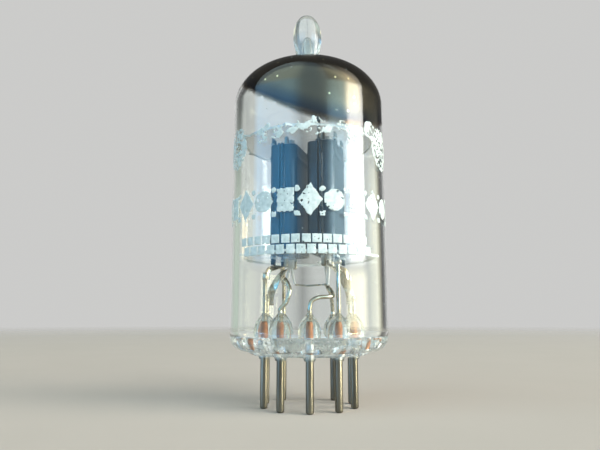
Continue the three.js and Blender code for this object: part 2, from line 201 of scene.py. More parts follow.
def box_part(size, middle):
    corners = [Vector((x, y, z)) for x in (-0.5, 0.5) for y in (-0.5, 0.5) for z in (-0.5, 0.5)]
    points = [Vector(middle) + Vector(a * b for a, b in zip(corner, size)) for corner in corners]
    faces = [(0, 1, 3, 2), (4, 6, 7, 5), (0, 4, 5, 1), (2, 3, 7, 6), (0, 2, 6, 4), (1, 5, 7, 3)]
    return points, faces


def arc(middle_x, middle_y, radius, from_deg, to_deg, steps):
    angles = [math.radians(from_deg + (to_deg - from_deg) * i / steps) for i in range(steps + 1)]
    return [(middle_x + radius * math.cos(a), middle_y + radius * math.sin(a)) for a in angles]


def new_mesh(name, part):
    """A mesh in metres from a part in millimetres."""
    mesh = bpy.data.meshes.new(name)
    mesh.from_pydata([point * MM for point in part[0]], [], part[1])
    return mesh


def new_object(name, data):
    made = bpy.data.objects.new(name, data)
    bpy.context.scene.collection.objects.link(made)
    return made


def shade(mesh, smooth_deg):
    """Smooth, but with every edge sharper than the angle kept crisp."""
    mesh.shade_smooth()
    mesh.set_sharp_from_angle(angle=math.radians(smooth_deg))


def build(name, part, material, stands_for=(), smooth_deg=35):
    """Makes the piece, rides it on the tube and hides the CAD parts it replaces."""
    mesh = new_mesh(name, part)
    shape = bmesh.new()
    shape.from_mesh(mesh)
    bmesh.ops.recalc_face_normals(shape, faces=shape.faces)
    shape.to_mesh(mesh)
    shape.free()
    shade(mesh, smooth_deg)
    mesh.materials.append(material)
    piece = new_object(name, mesh)
    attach(piece, "root")
    if stands_for:
        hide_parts(*stands_for)
    return piece


def apply_modifiers(piece):
    depsgraph = bpy.context.evaluated_depsgraph_get()
    finished = bpy.data.meshes.new_from_object(piece.evaluated_get(depsgraph))
    piece.modifiers.clear()
    piece.data = finished


def combine(piece, parts, operation):
    """Joins solid parts to the piece, or cuts them out of it, and leaves no face inside it."""
    others = [new_object("other", new_mesh("other", part)) for part in parts]
    for other in others:
        step = piece.modifiers.new("combine", "BOOLEAN")
        step.operation = operation
        step.solver = "EXACT"
        step.object = other
    apply_modifiers(piece)
    for other in others:
        bpy.data.objects.remove(other)


# ---- material tools

def new_material(name):
    material = bpy.data.materials.new(name)
    material.use_nodes = True
    material.node_tree.nodes.clear()
    return material, material.node_tree


def feed(tree, socket, value):
    """Links the socket to a node's output, or sets it to a plain value."""
    if isinstance(value, bpy.types.NodeSocket):
        tree.links.new(value, socket)
    else:
        socket.default_value = value


def node(tree, kind, settings=None, **inputs):
    made = tree.nodes.new(kind)
    for key, value in (settings or {}).items():
        setattr(made, key, value)
    for key, value in inputs.items():
        feed(tree, made.inputs[key.replace("_", " ")], value)
    return made


def place_on_object(tree):
    return node(tree, "ShaderNodeTexCoord").outputs["Object"]


def split(tree, vector):
    return node(tree, "ShaderNodeSeparateXYZ", Vector=vector).outputs


def object_noise(tree, scale, detail=3.0, stretch=(1, 1, 1)):
    mapping = node(tree, "ShaderNodeMapping", Vector=place_on_object(tree), Scale=stretch)
    return node(tree, "ShaderNodeTexNoise", Vector=mapping.outputs["Vector"], Scale=scale,
                Detail=detail).outputs["Fac"]


def ramp(tree, factor, stops):
    made = node(tree, "ShaderNodeValToRGB", Fac=factor)
    elements = made.color_ramp.elements
    while len(elements) < len(stops):
        elements.new(0.5)
    for element, (position, colour) in zip(elements, stops):
        element.position = position
        element.color = (*colour, 1)
    return made.outputs["Color"]


def bump(tree, height, strength, distance):
    return node(tree, "ShaderNodeBump", Height=height, Strength=strength,
                Distance=distance * MM).outputs["Normal"]


def principled(tree, **inputs):
    return node(tree, "ShaderNodeBsdfPrincipled", **inputs)


def output(tree, shader):
    node(tree, "ShaderNodeOutputMaterial", Surface=shader.outputs[0])


def maths(tree, operation, first, second, kind="ShaderNodeMath"):
    made = node(tree, kind, {"operation": operation})
    feed(tree, made.inputs[0], first)
    feed(tree, made.inputs[1], second)
    return made.outputs[0]


def times(tree, first, second):
    return maths(tree, "MULTIPLY", first, second)


def mixed(tree, factor, first, second):
    mix = node(tree, "ShaderNodeMixShader", Fac=factor)
    tree.links.new(first.outputs[0], mix.inputs[1])
    tree.links.new(second.outputs[0], mix.inputs[2])
    return mix


def mixed_colour(tree, factor, first, second):
    mix = node(tree, "ShaderNodeMix", {"data_type": "RGBA"})
    for index, value in ((0, factor), (6, first), (7, second)):     # the colour sockets of a Mix node
        feed(tree, mix.inputs[index], value)
    return mix.outputs[2]


def object_height(tree):
    """Height above the seat in millimetres."""
    return maths(tree, "DIVIDE", split(tree, place_on_object(tree))["Z"], MM)


def mapped(tree, value, start, end, at_start=0.0, at_end=1.0, how="LINEAR"):
    return node(tree, "ShaderNodeMapRange", {"interpolation_type": how}, Value=value, From_Min=start,
                From_Max=end, To_Min=at_start, To_Max=at_end).outputs["Result"]


def eased(tree, value, start, end, at_start=0.0, at_end=1.0):
    return mapped(tree, value, start, end, at_start, at_end, "SMOOTHSTEP")


def dust(tree, scale, radius, share):
    """Tiny specks: 1 inside a few small cells, else 0."""
    cells = node(tree, "ShaderNodeTexVoronoi", Vector=place_on_object(tree), Scale=scale)
    chosen = split(tree, cells.outputs["Color"])["X"]
    return times(tree, maths(tree, "LESS_THAN", cells.outputs["Distance"], radius),
                 maths(tree, "LESS_THAN", chosen, share))


GLASS_IOR = 1.5
BLOWN = (1, 1, 0.35)              # ripples stretched along Z, as blown and pressed glass shows
SPECK_SCALE, SPECK_SIZE, SPECK_SHARE, SPECK_COVER = 900, 0.07, 0.3, 0.7


def glass(name, tints, ripple, veil_scale, veil_heights, veil_shares):
    """Clear glass, whitened in patches. The patches go from the first share to the second over the
    two heights. Shadow rays pass straight through, so the light reaches what is inside."""
    material, tree = new_material(name)
    tint = ramp(tree, object_noise(tree, 150), [(0.3, tints[0]), (0.7, tints[1])])
    ripple_scale, ripple_strength = ripple
    normal = bump(tree, object_noise(tree, ripple_scale, 1.0, BLOWN), ripple_strength, 0.2)
    shader = principled(tree, Base_Color=tint, Roughness=0.0, IOR=GLASS_IOR, Transmission_Weight=1.0,
                        Normal=normal)
    white = principled(tree, Base_Color=(0.5, 0.56, 0.53, 1), Roughness=0.4, IOR=GLASS_IOR,
                       Transmission_Weight=0.4, Normal=normal)
    patches = mapped(tree, object_noise(tree, veil_scale, 4.0), 0.38, 0.62, 0.25)
    share = mapped(tree, object_height(tree), *veil_heights, *veil_shares)
    specks = times(tree, dust(tree, SPECK_SCALE, SPECK_SIZE, SPECK_SHARE), SPECK_COVER)
    veil = maths(tree, "MAXIMUM", times(tree, patches, share), specks)
    clear = node(tree, "ShaderNodeBsdfTransparent")
    shadow = node(tree, "ShaderNodeLightPath").outputs["Is Shadow Ray"]
    output(tree, mixed(tree, shadow, mixed(tree, veil, shader, white), clear))
    return material


def metal(name, colours, roughness, scale=900, stretch=(1, 1, 1), relief=0.1, metallic=1.0):
    """Drawn or pressed metal: mottled colour, uneven polish and fine drawing marks."""
    material, tree = new_material(name)
    mottle = object_noise(tree, scale, 4.0, stretch)
    colour = ramp(tree, mottle, [(0.25, colours[0]), (0.5, colours[1]), (0.75, colours[2])])
    rough = mapped(tree, object_noise(tree, scale * 0.6, 3.0, stretch), 0.0, 1.0, *roughness)
    normal = bump(tree, object_noise(tree, scale * 4, 2.0, stretch), relief, 0.02)
    output(tree, principled(tree, Base_Color=colour, Roughness=rough, Metallic=metallic, Normal=normal))
    return material


DRAWN = (1, 1, 0.06)              # noise stretched along Z, as drawn wire shows


def pin_metal():
    """Drawn nickel wire: tarnished where it is handled, clean and silvery where glass has wetted it."""
    material, tree = new_material("pin_nickel")
    mottle = object_noise(tree, 1400, 4.0, DRAWN)
    tarnished = ramp(tree, mottle, [
        (0.25, (0.09, 0.082, 0.065)), (0.5, (0.18, 0.17, 0.135)), (0.75, (0.32, 0.30, 0.24))])
    clean = ramp(tree, mottle, [(0.3, (0.66, 0.67, 0.66)), (0.7, (0.86, 0.87, 0.86))])
    wetted = mapped(tree, object_height(tree), -0.25, 0.35)
    colour = mixed_colour(tree, wetted, tarnished, clean)
    rough = mapped(tree, object_noise(tree, 900, 3.0, (1, 1, 0.1)), 0.0, 1.0, 0.22, 0.5)
    normal = bump(tree, object_noise(tree, 5000, 2.0, DRAWN), 0.12, 0.02)
    output(tree, principled(tree, Base_Color=colour, Roughness=rough, Metallic=1.0, Normal=normal))
    return material


def chalk(name, colours):
    """A sprayed mineral coating: matt and faintly grainy."""
    material, tree = new_material(name)
    grain = object_noise(tree, 2500, 5.0)
    colour = ramp(tree, grain, [(0.3, colours[0]), (0.7, colours[1])])
    output(tree, principled(tree, Base_Color=colour, Roughness=0.85, Normal=bump(tree, grain, 0.5, 0.03)))
    return material


def mica_material():
    """Split mica: a satin, see-through sheet with cleavage clouds, and a paler rim where it was cut."""
    material, tree = new_material("mica")
    clouds = object_noise(tree, 260, 6.0)
    colour = ramp(tree, clouds, [
        (0.3, (0.46, 0.43, 0.35)), (0.55, (0.58, 0.56, 0.5)), (0.8, (0.72, 0.71, 0.67))])
    normal = node(tree, "ShaderNodeNewGeometry").outputs["Normal"]
    facing = split(tree, normal)["Z"]
    rim = maths(tree, "LESS_THAN", maths(tree, "ABSOLUTE", facing, 0.0), 0.5)
    colour = mixed_colour(tree, rim, colour, (0.82, 0.87, 0.87, 1))
    alpha = maths(tree, "MAXIMUM", mapped(tree, clouds, 0.0, 1.0, 0.1, 0.4),
                  times(tree, rim, 0.85))
    output(tree, principled(tree, Base_Color=colour, Roughness=0.28, Alpha=alpha,
                            Normal=bump(tree, clouds, 0.25, 0.05)))
    return material


# The flash's lower edge: its height on the axis, and its slope along X, in front and behind along Y
FLASH_EDGE = 34.5
FLASH_SLOPE_X = -0.325
FLASH_SLOPE_FRONT = 0.61
FLASH_SLOPE_BACK = 0.15
FLASH_RAGGED = 0.6                # height of its ragged patches
FLASH_START = 0.2                 # height above the edge where the film begins
FLASH_FADE = 1.3                  # height over which it thickens
FLASH_SILVERING = 3.4             # height above the edge where it is all mirror


def flash_rise(x, y):
    """How far the flash's edge stands above its height on the axis."""
    return FLASH_SLOPE_X * x + min(FLASH_SLOPE_FRONT * y, FLASH_SLOPE_BACK * y)


def flash_material():
    """A metal film: a dark mirror, thinning through blue-black and brown to nothing at its edge."""
    material, tree = new_material("getter_mirror")
    parts = split(tree, place_on_object(tree))
    lean_y = maths(tree, "MINIMUM", times(tree, parts["Y"], FLASH_SLOPE_FRONT),
                   times(tree, parts["Y"], FLASH_SLOPE_BACK))
    rise = maths(tree, "ADD", times(tree, parts["X"], FLASH_SLOPE_X), lean_y)
    above = maths(tree, "DIVIDE", maths(tree, "SUBTRACT", parts["Z"], rise), MM)
    above = maths(tree, "SUBTRACT", above, FLASH_EDGE)
    patches = times(tree, object_noise(tree, 300, 4.0), FLASH_RAGGED)
    ragged = maths(tree, "ADD", above, patches)
    cover = eased(tree, ragged, FLASH_START, FLASH_START + FLASH_FADE)
    colour = ramp(tree, mapped(tree, ragged, FLASH_START, FLASH_SILVERING), [
        (0.0, (0.34, 0.21, 0.10)), (0.18, (0.12, 0.07, 0.035)), (0.36, (0.018, 0.022, 0.032)),
        (0.62, (0.05, 0.052, 0.05)), (1.0, (0.125, 0.108, 0.075))])
    speckled = mixed_colour(tree, dust(tree, 1300, 0.16, 0.22), colour, (0.75, 0.70, 0.48, 1))
    output(tree, principled(tree, Base_Color=speckled, Roughness=0.12, Metallic=1.0, Alpha=cover,
                            Normal=bump(tree, object_noise(tree, 700, 2.0), 0.05, 0.02)))
    return material


def ink_material():
    """Pale printed ink, chalky and thin in places."""
    material, tree = new_material("marking_ink")
    grain = object_noise(tree, 1800, 4.0)
    colour = ramp(tree, grain, [(0.3, (0.60, 0.70, 0.66)), (0.7, (0.80, 0.87, 0.83))])
    alpha = mapped(tree, grain, 0.0, 1.0, 0.7, 1.0)
    output(tree, principled(tree, Base_Color=colour, Roughness=0.7, Alpha=alpha,
                            Normal=bump(tree, grain, 0.3, 0.02)))
    return material


BULB_GLASS = glass("bulb_glass", ((0.895, 0.925, 0.91), (0.925, 0.947, 0.935)), (90, 0.04), 500,
                   (DOME_TOP_Z - 0.2, DOME_TOP_Z + 1.6), (0.0, 0.3))
STEM_GLASS = glass("stem_glass", ((0.92, 0.95, 0.94), (0.96, 0.978, 0.97)), (700, 0.45), 1100,
                   (SEAL_Z + 0.3, SEAL_Z - 0.2), (0.1, 0.42))
FLASH = flash_material()
INK = ink_material()
MICA = mica_material()
PIN_METAL = pin_metal()
LEAD_METAL = metal("lead_nickel", ((0.50, 0.44, 0.33), (0.68, 0.63, 0.52), (0.80, 0.77, 0.69)),
                   (0.16, 0.36), 1200)
DUMET = metal("dumet_seal", ((0.20, 0.06, 0.02), (0.34, 0.125, 0.04), (0.46, 0.20, 0.08)),
              (0.3, 0.5), 1500, metallic=0.35)
ANODE_METAL = metal("anode_metal", ((0.03, 0.032, 0.035), (0.05, 0.053, 0.057), (0.08, 0.083, 0.087)),
                    (0.24, 0.4), 700, (1, 1, 0.3), 0.12)
GRID_METAL = metal("grid_metal", ((0.35, 0.31, 0.24), (0.5, 0.46, 0.38), (0.62, 0.58, 0.5)), (0.3, 0.45))
GETTER_METAL = metal("getter_nickel", ((0.16, 0.15, 0.14), (0.27, 0.26, 0.25), (0.4, 0.39, 0.37)),
                     (0.3, 0.5))
OXIDE = chalk("cathode_coat", ((0.78, 0.77, 0.73), (0.9, 0.89, 0.86)))
ALUMINA = chalk("heater_coat", ((0.84, 0.83, 0.8), (0.94, 0.93, 0.91)))


# ---- bulb

def dome(radius, rise, end_deg, steps):
    """Superellipse dome, from its shoulder up to near the axis."""
    outline = []
    for i in range(steps + 1):
        angle = math.radians(end_deg * i / steps)
        outline.append((radius * math.cos(angle) ** (2 / DOME_SQUARENESS),
                        SHOULDER_Z + rise * math.sin(angle) ** (2 / DOME_SQUARENESS)))
    return outline


def smooth_outline(points, per_span=5):
    path = smooth_path([(radius, 0, z) for radius, z in points], per_span)
    return [(max(point.x, 0.0), point.z) for point in path]


WALL_RINGS = (8, 14, 20, 26, 31)  # heights of the rings that divide the straight wall


def bulb_outline():
    neck = smooth_outline([
        (2.35, 39.62), (1.72, 40.25), (1.6, 41.2), (1.78, 42.6), (1.98, 43.7), (2.06, 44.7),
        (1.95, 45.7), (1.62, 46.75), (1.05, 47.6), (0.5, 47.9)])
    bore = smooth_outline([
        (0.22, 44.4), (0.45, 43.8), (0.58, 42.6), (0.56, 41.2), (0.6, 40.0), (1.0, 39.0), (1.9, 38.75)])
    outside = [(BULB_RADIUS - 0.12, SEAL_Z), (BULB_RADIUS, SEAL_Z + 0.35)]
    outside += [(BULB_RADIUS, z) for z in (SEAL_Z + 0.5, *WALL_RINGS)]
    outside += dome(BULB_RADIUS, DOME_RISE, 75, 26)[:-1] + neck + [(0, TIP_Z)]
    inside = [(0, 44.5)] + bore + list(reversed(dome(BORE, DOME_RISE - WALL, 73, 24)))
    inside += [(BORE, z) for z in reversed(WALL_RINGS)] + [(BORE, SEAL_Z + 0.02)]
    return outside + inside + [outside[0]]


def lean_tip(part):
    """The tip was drawn off by hand in the flame, so it leans a little and isn't quite round."""
    points = []
    for point in part[0]:
        rise = max(0.0, point.z - DOME_TOP_Z) / (TIP_Z - DOME_TOP_Z)
        squash = 1 - 0.04 * min(1, rise * 3)
        points.append(Vector((point.x - 0.18 * rise ** 1.5, point.y * squash, point.z)))
    return points, part[1]


build("bulb_glass", lean_tip(lathe(bulb_outline())), BULB_GLASS, ["bulb"])


# ---- getter flash

def flash_film():
    """A thin closed film bonded to the dome's inner face, from the tip down to its leaning edge."""
    depth_in_glass, thickness = 0.05, 0.03
    rows, finer = 44, 6
    layers = []
    for inset in (-depth_in_glass, thickness - depth_in_glass):
        curve = [(BORE - inset, SHOULDER_Z - 7)] + dome(BORE - inset, DOME_RISE - WALL - inset, 86, 60)
        layer = []
        for step in range(FINE):
            angle = 2 * math.pi * step / FINE
            heading = Vector((math.cos(angle), math.sin(angle)))
            kept = []
            for (radius, z), (radius_after, z_after) in zip(curve, curve[1:]):
                for share in (part / finer for part in range(finer)):
                    r = radius + (radius_after - radius) * share
                    z_here = z + (z_after - z) * share
                    x, y = r * heading
                    if z_here > FLASH_EDGE - FLASH_RAGGED + flash_rise(x, y):
                        kept.append(Vector((x, y, z_here)))
            layer.append([kept[round(i * (len(kept) - 1) / rows)] for i in range(rows + 1)])
        layers.append(layer)
    points = [point for layer in layers for column in layer for point in column]
    stride = FINE * (rows + 1)

    def index(layer, step, row):
        return layer * stride + (step % FINE) * (rows + 1) + row

    faces = []
    for step in range(FINE):
        for row in range(rows):
            for layer in (0, 1):
                faces.append((index(layer, step, row), index(layer, step + 1, row),
                              index(layer, step + 1, row + 1), index(layer, step, row + 1)))
        for row in (0, rows):
            faces.append((index(0, step, row), index(0, step + 1, row),
                          index(1, step + 1, row), index(1, step, row)))
    return points, faces


build("getter_mirror", flash_film(), FLASH, ["getter_flash"])


# ---- button stem

def stem_disc():
    outer = BULB_RADIUS - 0.06
    corner = 1.9
    underside = smooth_outline([(4.4, 0.0), (4.6, 0.06), (4.8, 0.12)], 3)
    step = smooth_outline([(7.1, 0.12), (7.5, 0.16), (7.82, 0.38), (7.98, 0.6), (8.2, 0.66)], 4)
    side = arc(outer - corner, SEAL_Z - 0.03, corner, -84, 0, 14)
    top = smooth_outline([(9.3, SEAL_Z - 0.03), (8.6, SEAL_Z - 0.12), (7.6, SEAL_Z - 0.05),
                          (6.6, SEAL_Z), (4.2, SEAL_Z - 0.1), (2.4, SEAL_Z - 0.3)], 3)
    return [(0, 0.0), (2.2, 0.0)] + underside + step + side + top + [(0, SEAL_Z - 0.36)]


def stem_bead():
    """Bell of glass drawn up round a seal, and the collar where its pin leaves the glass."""
    outline = smooth_outline([
        (0.62, -COLLAR_DROP), (0.7, -COLLAR_DROP + 0.12), (0.8, 0.2), (0.95, 0.9), (1.3, 1.7),
        (BEAD_RADIUS, 2.3), (1.4, 2.8), (1.31, 3.4), (1.14, 4.0), (0.9, 4.5), (0.62, 4.85),
        (0.4, BEAD_TOP_Z - 0.2), (0.3, BEAD_TOP_Z)], 2)
    return lathe([(0, -COLLAR_DROP)] + outline + [(0, BEAD_TOP_Z)], 40)


def make_stem():
    stem = build("stem_glass", lathe(stem_disc()), STEM_GLASS, ["button_stem"])
    combine(stem, [placed(stem_bead(), pin_place(number, 0)) for number in PIN_NUMBERS], "UNION")
    shape = bmesh.new()
    shape.from_mesh(stem.data)
    bmesh.ops.dissolve_degenerate(shape, edges=shape.edges, dist=0.001 * MM)
    shape.to_mesh(stem.data)
    shape.free()
    shade(stem.data, 50)


make_stem()


# ---- pins, seals and leads

def pin_part():
    top = high("pin_1").z
    tip = smooth_outline([(0.1, FLOOR_Z), (0.3, FLOOR_Z + 0.03), (0.45, FLOOR_Z + 0.14),
                          (PIN_RADIUS, FLOOR_Z + 0.34)], 4)
    return lathe([(0, FLOOR_Z)] + tip + [(PIN_RADIUS, z) for z in (-4, -2, 0, top - 0.15)]
                 + [(PIN_RADIUS - 0.12, top), (0, top)], 40)


def seal_part():
    """Copper-clad wire under a swelling of borate glaze."""
    bottom, top = low("seal_wire_1").z, high("seal_wire_1").z
    swell = smooth_outline([(0.24, bottom), (0.29, bottom + 0.15), (0.31, bottom + 0.8),
                            (0.29, top - 0.4), (0.22, top)], 4)
    return lathe([(0, bottom)] + swell + [(0, top)], 32)


LEAD_START = low("lead_1").z
LEAD_ROUTES = {
    1: [pin_place(1, 7), from_cage(-4.75, 3.2, 10.2), from_cage(-4.66, 2.4, 11.7)],
    2: [pin_place(2, 6.6), pin_place(2, 7.4)],
    3: [pin_place(3, 8.1), pin_place(3, 10.4)],
    4: [(-2.8, -4.75, 6.6), (-2.4, -4.5, 8.2), (-3.0, -3.4, 9.5), from_cage(-2.95, -1.55, 9.3)],
    5: [(0.25, -5.85, 6.7), (1.1, -5.6, 7.15), (2.6, -5.0, 7.3), (2.95, -3.7, 7.6),
        from_cage(3.0, -1.6, 8.6)],
    6: [pin_place(6, 7), pin_place(6, 9), from_cage(4.78, -3.3, 10.8), from_cage(4.66, -2.9, 11.9)],
    7: [pin_place(7, 6.6), pin_place(7, 7.4)],
    8: [pin_place(8, 8.1), pin_place(8, 10.4)],
    9: [from_cage(1.85, 5.2, 7.0), from_cage(1.9, 3.7, 8.6), from_cage(1.9, 2.05, 9.1)],
}
WELD_SWELL = {4: 0.6, 6: 1.1}     # the largest weld beads, as a share of the wire's radius


def lead_part(number):
    seated = [pin_place(number, z) for z in (LEAD_START, 4.7, 5.3, 5.8)]
    path = smooth_path(seated + LEAD_ROUTES[number])

    def radius(share):
        weld = math.exp(-((share - 0.95) / 0.035) ** 2)
        return LEAD_RADIUS * (1 + WELD_SWELL.get(number, 0.3) * weld)

    return sweep(path, radius)


for number in PIN_NUMBERS:
    build(f"nickel_pin_{number}", placed(pin_part(), pin_place(number, 0)), PIN_METAL,
          [f"pin_{number}"])
    build(f"copper_seal_{number}", placed(seal_part(), pin_place(number, 0)), DUMET,
          [f"seal_wire_{number}"])
    build(f"nickel_lead_{number}", lead_part(number), LEAD_METAL, [f"lead_{number}"])


# ---- straps

STRAP_SHEET = 0.14
GRID_STRAP = [(0, 6.4), (0, 7.4), (0.12, 8.6), (0.5, 10.6), (0.92, 11.5), (1, 12.0)]
CATHODE_STRAP = [(0, 9.6), (0, 10.4), (0.15, 11.0), (0.6, 11.35), (0.95, 11.5), (1, 12.0)]


def strap_part(pin, target, target_radius, waypoints, width):
    """A bent strip from a lead to a rod, dished across its width. It faces out from the tube at the
    lead and twists a quarter turn on its way in."""
    start = pin_place(pin, 0)
    across = Vector((target.x, target.y, 0)) - start
    reach = across.length
    across.normalize()
    near = LEAD_RADIUS + STRAP_SHEET
    far = reach - target_radius - STRAP_SHEET
    path = smooth_path([start + across * (near + share * (far - near)) + Vector((0, 0, z))
                        for share, z in waypoints], 8)
    side = across.cross(Vector((0, 0, 1)))
    count = 7                     # points across each face
    ring = 2 * count
    columns = [i / (count - 1) - 0.5 for i in range(count)]
    points, faces = [], []
    for i, place in enumerate(path):
        tangent = (path[min(i + 1, len(path) - 1)] - path[max(i - 1, 0)]).normalized()
        share = i / (len(path) - 1)
        twist = math.pi / 2 * (1 - min(1.0, max(0.0, (share - 0.35) / 0.4)))
        edge = Matrix.Rotation(twist, 3, tangent) @ side
        out = tangent.cross(edge)
        for face in (-0.5, 0.5):
            for column in columns:
                dish = 0.06 * (1 - (2 * column) ** 2)
                points.append(place + edge * column * width + out * (face * STRAP_SHEET + dish))
    loop = list(range(count)) + list(range(ring - 1, count - 1, -1))
    last = ring * (len(path) - 1)
    for low_ring in range(0, last, ring):
        high_ring = low_ring + ring
        for a, b in zip(loop, loop[1:] + loop[:1]):
            faces.append((low_ring + a, low_ring + b, high_ring + b, high_ring + a))
    for c in range(count - 1):
        faces.append((c, c + 1, c + count + 1, c + count))
        faces.append((last + c, last + c + count, last + c + count + 1, last + c + 1))
    return points, faces


for number, side in TRIODES:
    grid_pin, cathode_pin = (7, 8) if number == 1 else (2, 3)
    rod = from_cage(side * TRIODE_OFFSET, -side * GRID_ROD_V, 0)
    sleeve = from_cage(side * TRIODE_OFFSET, 0, 0)
    build(f"grid_strap_{number}", strap_part(grid_pin, rod, GRID_ROD_RADIUS, GRID_STRAP, 1.0),
          LEAD_METAL, [f"grid_{number}_strap"])
    build(f"cathode_strap_{number}", strap_part(cathode_pin, sleeve, CATHODE_RADIUS, CATHODE_STRAP, 0.7),
          LEAD_METAL, [f"cathode_{number}_strap"])


# ---- micas

MICA_RADIUS = 8.7
MICA_EARS = 8
EAR_REACH = 0.62
TAB_V = 1.9
TAB_WIDTH = 1.2
POST_V = 5.4                      # the getter's post stands behind the two triodes


def mica_outline():
    """A disc with small pointed ears that grip the bulb."""
    outline = []
    count, ear_share = 240, 0.2
    for i in range(count):
        angle = 2 * math.pi * i / count
        off_ear = abs(((angle * MICA_EARS / (2 * math.pi) + 0.5) % 1) - 0.5) * 2
        radius = MICA_RADIUS + EAR_REACH * max(0.0, 1 - off_ear / ear_share)
        outline.append((radius * math.cos(angle), radius * math.sin(angle)))
    return outline


def slab(outline, bottom, top):
    count = len(outline)
    points = [Vector((x, y, z)) for z in (bottom, top) for x, y in outline]
    faces = [tuple(reversed(range(count))), tuple(range(count, 2 * count))]
    for i in range(count):
        after = (i + 1) % count
        faces.append((i, after, count + after, count + i))
    return points, faces


def make_mica(name, cad_node):
    bottom, top = low(cad_node).z, high(cad_node).z
    piece = build(name, placed(slab(mica_outline(), bottom, top), turn=CAGE_ANGLE), MICA,
                  [cad_node])

    def round_hole(radius, place):
        outline = [(0, bottom - 1), (radius, bottom - 1), (radius, top + 1), (0, top + 1)]
        return placed(lathe(outline, 28), place)

    holes = [round_hole(0.4, from_cage(0, POST_V, 0))]
    tab_u = TRIODE_OFFSET + ANODE_WIDTH / 2 - SHEET / 2
    upright = ((0, CATHODE_RADIUS), (-GRID_ROD_V, GRID_ROD_RADIUS), (GRID_ROD_V, GRID_ROD_RADIUS))
    for _, side in TRIODES:
        for v, radius in upright:
            holes.append(round_hole(radius + 0.1, from_cage(side * TRIODE_OFFSET, v, 0)))
        for end in (-1, 1):
            slot = box_part((SHEET + 0.2, TAB_WIDTH + 0.24, 3), (0, 0, (bottom + top) / 2))
            holes.append(placed(slot, from_cage(side * tab_u, end * TAB_V, 0), CAGE_ANGLE))
    combine(piece, holes, "DIFFERENCE")
    piece.data.set_sharp_from_angle(angle=math.radians(30))


make_mica("lower_mica", "bottom_mica")
make_mica("upper_mica", "top_mica")


# ---- anodes

def anode_rows():
    """Paired outer and inner points of one pressed half, from flange to flange."""
    wall_u, wall_v = ANODE_WIDTH / 2, ANODE_DEPTH / 2
    seam = SEAM / 2
    end_v = wall_v + FLANGE_REACH
    mid_u, mid_v = wall_u - ANODE_CORNER, wall_v - ANODE_CORNER
    bend = 0.12
    outer = arc(mid_u, mid_v, ANODE_CORNER, 0, 90, 10)
    outer += [(seam + SHEET + bend, wall_v), (seam + SHEET, wall_v + bend), (seam + SHEET, end_v)]
    inner = arc(mid_u, mid_v, ANODE_CORNER - SHEET, 0, 90, 10)
    inner += [(seam + bend, wall_v - SHEET), (seam, wall_v), (seam, end_v)]
    return [[(u, -v) for u, v in reversed(row)] + [(middle_u, 0)] + row
            for row, middle_u in ((outer, wall_u), (inner, wall_u - SHEET))]


def anode_shell():
    """One pressed half, with a rib across it near its foot and another near its head."""
    rib_shares, rib_width, rib_rise = (0.12, 0.88), 0.022, 0.12
    outer, inner = anode_rows()
    loop = outer + list(reversed(inner))
    count = len(loop)
    steps = 72
    points, faces = [], []
    for step in range(steps + 1):
        z = ANODE_LOW + (ANODE_HIGH - ANODE_LOW) * step / steps
        share = step / steps
        rib = sum(math.exp(-((share - middle) / rib_width) ** 2) for middle in rib_shares)
        for u, v in loop:
            on_wall = abs(v) < ANODE_DEPTH / 2 - ANODE_CORNER / 2
            points.append(Vector((u + (rib_rise * rib if on_wall else 0), v, z)))
    for step in range(steps):
        for k in range(count):
            after = (k + 1) % count
            faces.append((step * count + k, step * count + after,
                          (step + 1) * count + after, (step + 1) * count + k))
    pairs = len(outer)
    for base in (0, steps * count):
        for k in range(pairs - 1):
            faces.append((base + k, base + k + 1, base + count - 2 - k, base + count - 1 - k))
    return points, faces


def anode_tabs():
    """Two strips whose ends stand out through the micas' slots."""
    reach = high("anode_1_outer_half").z - low("anode_1_outer_half").z
    middle_u, middle_z = ANODE_WIDTH / 2 - SHEET / 2, centre("anode_1_outer_half").z
    return [box_part((SHEET, TAB_WIDTH, reach), (middle_u, end * TAB_V, middle_z)) for end in (-1, 1)]


def crimps():
    """Square clench marks that hold the two flanges together."""
    marks = []
    for end in (-1, 1):
        for share in (0.1, 0.37, 0.63, 0.9):
            z = ANODE_LOW + (ANODE_HIGH - ANODE_LOW) * share
            v = end * (ANODE_DEPTH / 2 + FLANGE_REACH / 2 + 0.02)
            marks.append(box_part((0.16, 0.42, 0.7), (SEAM / 2 + SHEET + 0.02, v, z)))
    return marks


for number, side in TRIODES:
    place = from_cage(side * TRIODE_OFFSET, 0, 0)
    outward = CAGE_ANGLE + (0 if side > 0 else math.pi)
    outer_half = merged([anode_shell()] + anode_tabs() + crimps())
    build(f"anode_{number}_outer", placed(outer_half, place, outward), ANODE_METAL,
          [f"anode_{number}_outer_half"], smooth_deg=32)
    build(f"anode_{number}_inner", placed(anode_shell(), place, outward + math.pi), ANODE_METAL,
          [f"anode_{number}_inner_half"], smooth_deg=32)


# ---- grids, cathodes and heaters

def winding():
    """Fine wire wound round the two rods of a grid, as a flattened helix."""
    turns, per_turn, wire_radius = 44, 20, 0.045
    half_u, half_v = 0.95, GRID_ROD_V + 0.36
    bottom, top = ANODE_LOW + 0.8, ANODE_HIGH - 0.8
    path = []
    for i in range(turns * per_turn + 1):
        angle = 2 * math.pi * i / per_turn
        path.append(Vector((half_u * math.sin(angle), half_v * math.cos(angle),
                            bottom + (top - bottom) * i / (turns * per_turn))))
    return sweep(path, wire_radius, 6)


def grid_rod():
    radius, narrow, chamfer = GRID_ROD_RADIUS, GRID_ROD_RADIUS * 0.8, 0.06
    return lathe([(0, ROD_LOW), (narrow, ROD_LOW), (radius, ROD_LOW + chamfer),
                  (radius, ROD_HIGH - chamfer), (narrow, ROD_HIGH), (0, ROD_HIGH)], 28)


